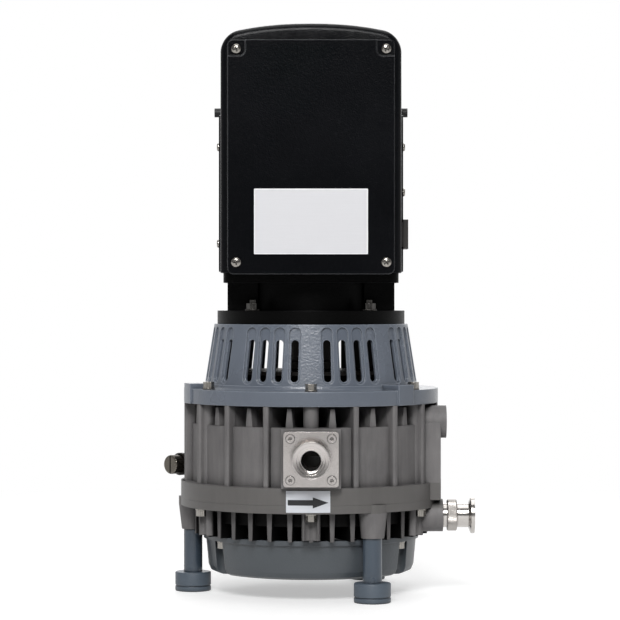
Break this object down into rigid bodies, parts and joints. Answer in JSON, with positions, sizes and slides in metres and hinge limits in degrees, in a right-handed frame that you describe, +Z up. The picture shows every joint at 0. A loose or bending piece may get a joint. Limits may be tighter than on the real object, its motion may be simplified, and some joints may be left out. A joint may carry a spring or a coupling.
{
  "type": "dry scroll vacuum pump",
  "caption": "Upright dry scroll vacuum pump: finned casing on legs, slotted bell, motor enclosure on top, small-flange inlet and exhaust.",
  "frame": {"origin": "where the pump axis meets the floor, at the centre of the circle of three feet", "axes": "+Z up along the crankshaft, the inlet faces -Y, the exhaust faces +X"},
  "size_m": [0.2581, 0.246, 0.472],
  "materials": {
    "cast_aluminium": "rough sand-cast, dark",
    "grey_paint": "semi-gloss grey enamel with slight orange peel",
    "grey_rubber": "satin moulded rubber",
    "steel_screws": "zinc plated",
    "stainless": "turned stainless steel",
    "bearing_steel": "ground steel",
    "black_rubber": "matte elastomer",
    "seal_plastic": "filled low-friction plastic",
    "machined_aluminium": "machined",
    "black_plastic": "moulded, satin",
    "black_paint": "satin black",
    "dark_steel": "blackened",
    "motor_cast": "die cast",
    "lamination_steel": "stacked sheet steel",
    "copper": "enamelled copper wire",
    "board_green": "circuit board",
    "capacitor_sleeve": "shrink sleeve"
  },
  "bodies": {
    "pump_body": {"ballast_body": "dark_steel", "bearing_retainer": "machined_aluminium", "bell": "grey_paint", "bell_bolts": "steel_screws", "board_capacitors": "capacitor_sleeve", "casing_seal": "black_rubber", "clamp_bolts": "steel_screws", "cover_screws": "steel_screws", "driver_board": "board_green", "enclosure": "black_paint", "exhaust_adapter": "stainless", "exhaust_nut": "stainless", "fan_cover": "grey_paint", "fan_cover_screws": "steel_screws", "fixed_tip_seals": "seal_plastic", "foot_front": "grey_rubber", "foot_left": "grey_rubber", "foot_rear": "grey_rubber", "front_cover": "black_paint", "inlet_plate": "stainless", "inlet_screws": "stainless", "inlet_seal": "black_rubber", "leg_front": "grey_paint", "leg_left": "grey_paint", "leg_rear": "grey_paint", "lower_bearing": "bearing_steel", "lower_casing": "cast_aluminium", "motor_fasteners": "steel_screws", "motor_frame": "motor_cast", "motor_neck": "black_paint", "panel_screws": "steel_screws", "pin_crank_post_bearings": "bearing_steel", "power_socket": "black_plastic", "rear_bearing": "bearing_steel", "rear_shield": "motor_cast", "shaft_seals": "black_rubber", "side_knobs": "black_plastic", "side_panel_left": "black_paint", "side_panel_right": "black_paint", "stator": "lamination_steel", "upper_bearing": "bearing_steel", "upper_casing": "cast_aluminium", "upper_port_plug": "stainless", "windings": "copper"},
    "shaft": {"crankshaft": "bearing_steel", "pump_fan": "black_plastic", "bell_fan": "black_plastic", "lower_counterweight": "dark_steel", "upper_counterweight": "dark_steel", "rotor": "lamination_steel", "fan_seat_screw": "steel_screws"},
    "orbiter": {"orbiting_scroll": "machined_aluminium", "orbiting_tip_seals": "seal_plastic", "pin_bearing": "bearing_steel", "pin_crank_lug_bearings": "bearing_steel"},
    "pin_crank_rear": {"pin_crank_rear": "bearing_steel"},
    "pin_crank_left": {"pin_crank_left": "bearing_steel"},
    "pin_crank_right": {"pin_crank_right": "bearing_steel"},
    "exhaust_valve": {"exhaust_valve": "stainless"},
    "ballast_knob": {"ballast_knob": "stainless"}
  },
  "joints": [
    {"name": "shaft_spin", "type": "hinge", "parent": "pump_body", "child": "shaft", "pos_m": [0, 0, 0.1], "axis": [0, 0, 1], "continuous": true},
    {"name": "scroll_orbit", "type": "hinge", "parent": "shaft", "child": "orbiter", "pos_m": [0.00453, 0, 0.0915], "axis": [0, 0, 1], "continuous": true},
    {"name": "pin_crank_rear_spin", "type": "hinge", "parent": "pump_body", "child": "pin_crank_rear", "pos_m": [0, 0.0805, 0.08], "axis": [0, 0, 1], "continuous": true},
    {"name": "pin_crank_left_spin", "type": "hinge", "parent": "pump_body", "child": "pin_crank_left", "pos_m": [-0.06971, -0.04025, 0.08], "axis": [0, 0, 1], "continuous": true},
    {"name": "pin_crank_right_spin", "type": "hinge", "parent": "pump_body", "child": "pin_crank_right", "pos_m": [0.06971, -0.04025, 0.08], "axis": [0, 0, 1], "continuous": true},
    {"name": "exhaust_valve_lift", "type": "slide", "parent": "pump_body", "child": "exhaust_valve", "axis": [1, 0, 0], "range_m": [0, 0.002]},
    {"name": "ballast_knob_turn", "type": "hinge", "parent": "pump_body", "child": "ballast_knob", "pos_m": [-0.111, 0, 0.106], "axis": [-0.6691, -0.7431, 0], "range_deg": [0, 180]}
  ],
  "couplings": [
    {"joint": "scroll_orbit", "follows": "shaft_spin", "ratio": -1},
    {"joint": "pin_crank_rear_spin", "follows": "shaft_spin", "ratio": 1},
    {"joint": "pin_crank_left_spin", "follows": "shaft_spin", "ratio": 1},
    {"joint": "pin_crank_right_spin", "follows": "shaft_spin", "ratio": 1}
  ]
}
